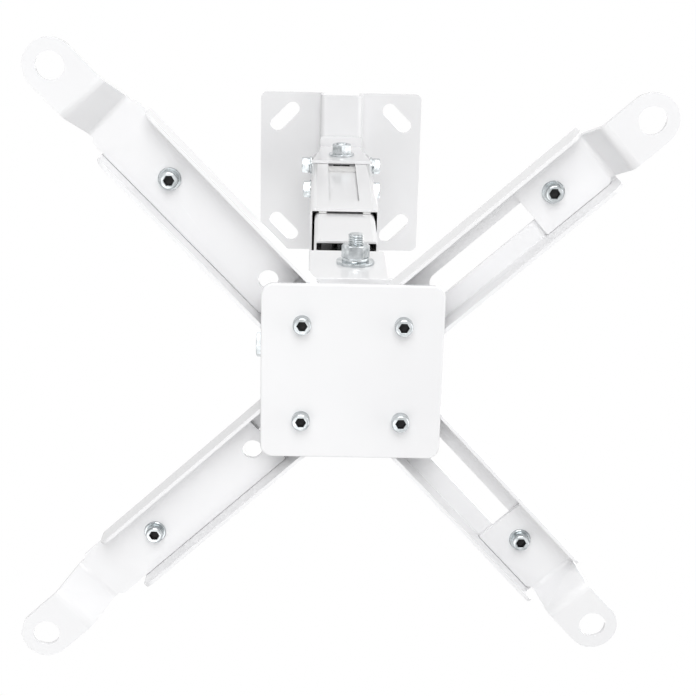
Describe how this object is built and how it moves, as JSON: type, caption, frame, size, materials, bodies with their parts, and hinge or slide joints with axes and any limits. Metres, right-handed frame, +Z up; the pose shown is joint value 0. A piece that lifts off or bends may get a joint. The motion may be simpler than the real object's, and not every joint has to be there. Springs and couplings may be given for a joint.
{
  "type": "projector ceiling mount",
  "caption": "White steel ceiling mount for a projector: hat-shaped ceiling plate, swivelling telescopic square pole, and a tilting head with spread channel arms and stepped tabs.",
  "frame": {"origin": "middle of the ceiling plate's upper face, on the line of the swivel bolt", "axes": "+Z up to the ceiling, -Y the front of the mount, where the pole's window and the nuts of its pivot bolts are, +X to the right seen from the front"},
  "size_m": [0.3558, 0.3545, 0.6061],
  "materials": {
    "white_paint": "glossy white powder coat",
    "zinc_plate": "bright zinc plate",
    "nylon": "natural nylon",
    "black_coat": "matt black coat"
  },
  "bodies": {
    "ceiling": {"ceiling_plate": "white_paint", "swivel_bolt": "zinc_plate", "swivel_washer": "zinc_plate", "swivel_nut": "zinc_plate"},
    "bracket": {"swivel_plate": "white_paint", "ceiling_bracket": "white_paint", "upper_pivot_bolt": "zinc_plate", "upper_pivot_washers": "zinc_plate", "upper_pivot_nut": "zinc_plate"},
    "outer_pole": {"outer_pole": "white_paint", "pole_stiffener": "black_coat", "pivot_sleeve": "zinc_plate", "side_bolts": "zinc_plate", "side_spring_washers": "zinc_plate", "side_washers": "zinc_plate", "lock_screws": "zinc_plate", "pole_glides": "nylon"},
    "inner_pole": {"inner_pole": "white_paint", "pole_shoes": "nylon", "pole_plug": "white_paint", "plug_rivets": "zinc_plate"},
    "yoke": {"yoke": "white_paint", "lower_pivot_bolt": "zinc_plate", "lower_pivot_washers": "zinc_plate", "lower_pivot_spring_washer": "zinc_plate", "lower_pivot_nut": "zinc_plate", "tilt_tube": "white_paint"},
    "head": {"cradle": "white_paint", "tilt_bolt": "zinc_plate", "tilt_washer": "zinc_plate", "lower_plate": "white_paint", "plate_screws": "zinc_plate", "plate_spacers": "zinc_plate", "plate_nuts": "zinc_plate"},
    "arm_front_left": {"arm_front_left": "white_paint"},
    "extension_front_left": {"extension_front_left": "white_paint", "clamp_screw_front_left": "zinc_plate", "clamp_nut_front_left": "zinc_plate"},
    "arm_front_right": {"arm_front_right": "white_paint"},
    "extension_front_right": {"extension_front_right": "white_paint", "clamp_screw_front_right": "zinc_plate", "clamp_nut_front_right": "zinc_plate"},
    "arm_rear_left": {"arm_rear_left": "white_paint"},
    "extension_rear_left": {"extension_rear_left": "white_paint", "clamp_screw_rear_left": "zinc_plate", "clamp_nut_rear_left": "zinc_plate"},
    "arm_rear_right": {"arm_rear_right": "white_paint"},
    "extension_rear_right": {"extension_rear_right": "white_paint", "clamp_screw_rear_right": "zinc_plate", "clamp_nut_rear_right": "zinc_plate"}
  },
  "joints": [
    {"name": "ceiling_swivel", "type": "hinge", "parent": "ceiling", "child": "bracket", "pos_m": [0, 0, -0.02], "axis": [0, 0, 1], "continuous": true},
    {"name": "pole_roll", "type": "hinge", "parent": "bracket", "child": "outer_pole", "pos_m": [0, 0, -0.0747], "axis": [0, 1, 0], "range_deg": [-8, 8]},
    {"name": "pole_slide", "type": "slide", "parent": "outer_pole", "child": "inner_pole", "axis": [0, 0, -1], "range_m": [0, 0.125]},
    {"name": "yoke_roll", "type": "hinge", "parent": "inner_pole", "child": "yoke", "pos_m": [0.005, 0, -0.4337], "axis": [0, 1, 0], "range_deg": [-8, 8]},
    {"name": "head_tilt", "type": "hinge", "parent": "yoke", "child": "head", "pos_m": [0, 0, -0.5507], "axis": [1, 0, 0], "range_deg": [-15, 15]},
    {"name": "arm_swing_front_left", "type": "hinge", "parent": "head", "child": "arm_front_left", "pos_m": [-0.0276, -0.0276, -0.5784], "axis": [0, 0, 1], "range_deg": [-30, 30]},
    {"name": "extension_slide_front_left", "type": "slide", "parent": "arm_front_left", "child": "extension_front_left", "axis": [-0.6959, -0.7181, 0], "range_m": [-0.01, 0.018]},
    {"name": "arm_swing_front_right", "type": "hinge", "parent": "head", "child": "arm_front_right", "pos_m": [0.0276, -0.0276, -0.5784], "axis": [0, 0, 1], "range_deg": [-30, 30]},
    {"name": "extension_slide_front_right", "type": "slide", "parent": "arm_front_right", "child": "extension_front_right", "axis": [0.742, -0.6704, 0], "range_m": [-0.055, 0.015]},
    {"name": "arm_swing_rear_left", "type": "hinge", "parent": "head", "child": "arm_rear_left", "pos_m": [-0.0276, 0.0276, -0.5784], "axis": [0, 0, 1], "range_deg": [-30, 30]},
    {"name": "extension_slide_rear_left", "type": "slide", "parent": "arm_rear_left", "child": "extension_rear_left", "axis": [-0.7337, 0.6794, 0], "range_m": [-0.02, 0.008]},
    {"name": "arm_swing_rear_right", "type": "hinge", "parent": "head", "child": "arm_rear_right", "pos_m": [0.0276, 0.0276, -0.5784], "axis": [0, 0, 1], "range_deg": [-30, 30]},
    {"name": "extension_slide_rear_right", "type": "slide", "parent": "arm_rear_right", "child": "extension_rear_right", "axis": [0.682, 0.7314, 0], "range_m": [-0.055, 0.014]}
  ]
}
